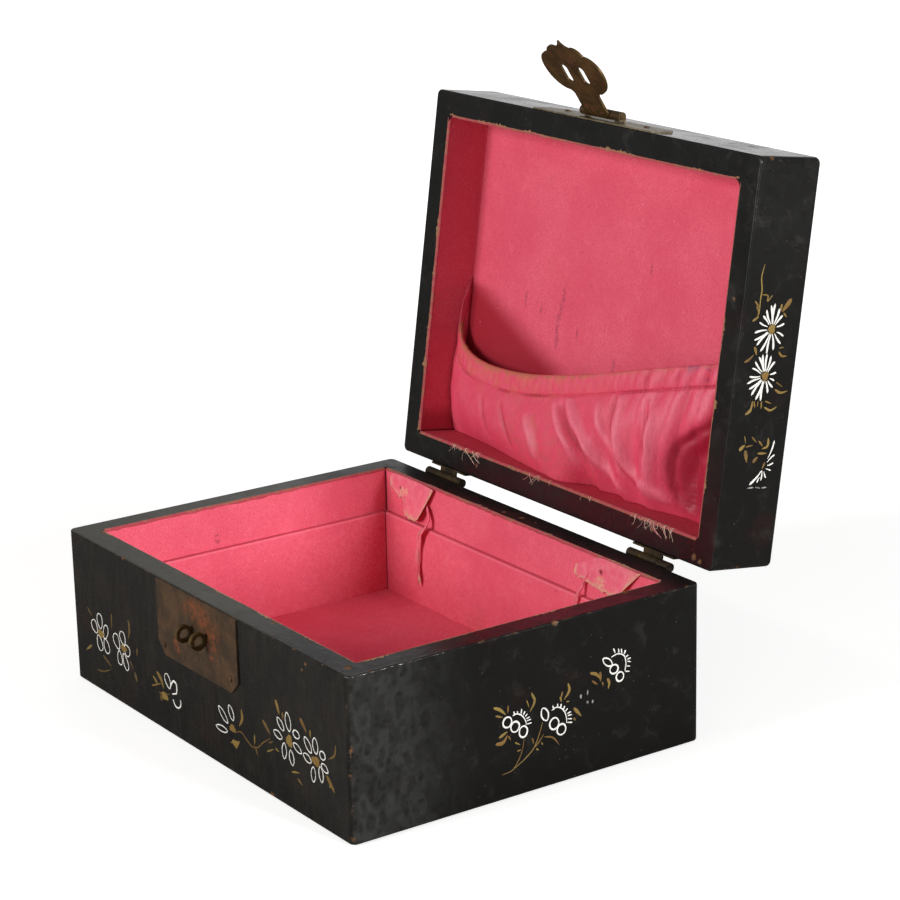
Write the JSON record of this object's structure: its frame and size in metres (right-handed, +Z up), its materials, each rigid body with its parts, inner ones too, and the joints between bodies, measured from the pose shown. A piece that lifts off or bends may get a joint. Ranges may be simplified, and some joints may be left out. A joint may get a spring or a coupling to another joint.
{
  "type": "jewelry box",
  "caption": "Lacquered wooden box with a paper-lined ledged base, a hinged lid with a gathered cloth pocket, and a hasp that drops over staple loops.",
  "frame": {"origin": "centre of the flat underside", "axes": "+X along the hinge to the right, -Y to the front with the lock plate, +Z up; the lid stands open at rest"},
  "size_m": [0.25, 0.2681, 0.3073],
  "materials": {
    "black_lacquer": "aged gloss black lacquer with painted flowers",
    "pink_paper": "matte pink paper over card",
    "pocket_satin": "soft satin with worn hem",
    "elastic": "perished flat elastic",
    "ribbon_silk": "frayed silk ribbon",
    "plate_brass": "aged brown with rusty stains",
    "fitting_bronze": "dark worn bronze"
  },
  "bodies": {
    "base": {"base_back_board": "black_lacquer", "base_bottom": "black_lacquer", "base_front_board": "black_lacquer", "base_hinge_leaf_left": "fitting_bronze", "base_hinge_leaf_right": "fitting_bronze", "base_hinge_nails": "fitting_bronze", "base_left_board": "black_lacquer", "base_right_board": "black_lacquer", "floor_board": "pink_paper", "hinge_pin_left": "fitting_bronze", "hinge_pin_right": "fitting_bronze", "ledge_board_back": "pink_paper", "ledge_board_front": "pink_paper", "ledge_board_left": "pink_paper", "ledge_board_right": "pink_paper", "lock_plate": "plate_brass", "lock_plate_nails": "fitting_bronze", "ribbon_strand_left": "ribbon_silk", "ribbon_strand_right": "ribbon_silk", "ribbon_tab_left": "ribbon_silk", "ribbon_tab_right": "ribbon_silk", "staple_loop_left": "fitting_bronze", "staple_loop_right": "fitting_bronze", "wall_lining_back": "pink_paper", "wall_lining_front": "pink_paper", "wall_lining_left": "pink_paper", "wall_lining_right": "pink_paper"},
    "lid": {"hasp_pin": "fitting_bronze", "hasp_plate": "plate_brass", "hasp_plate_nails": "fitting_bronze", "lid_back_board": "black_lacquer", "lid_front_board": "black_lacquer", "lid_hinge_leaf_left": "fitting_bronze", "lid_hinge_leaf_right": "fitting_bronze", "lid_hinge_nails": "fitting_bronze", "lid_left_board": "black_lacquer", "lid_lining_back": "pink_paper", "lid_lining_front": "pink_paper", "lid_lining_left": "pink_paper", "lid_lining_right": "pink_paper", "lid_panel_lining": "pink_paper", "lid_right_board": "black_lacquer", "lid_top_panel": "black_lacquer", "pocket": "pocket_satin", "pocket_elastic": "elastic", "pocket_hem_facing": "pocket_satin"},
    "hasp": {"hasp_leaf": "fitting_bronze"}
  },
  "joints": [
    {"name": "lid_hinge", "type": "hinge", "parent": "base", "child": "lid", "pos_m": [0, 0.0995, 0.0753], "axis": [1, 0, 0], "range_deg": [0, 98.2]},
    {"name": "hasp_hinge", "type": "hinge", "parent": "lid", "child": "hasp", "pos_m": [0.0015, 0.13584, 0.27001], "axis": [1, 0, 0], "range_deg": [-120, 49.3]}
  ]
}
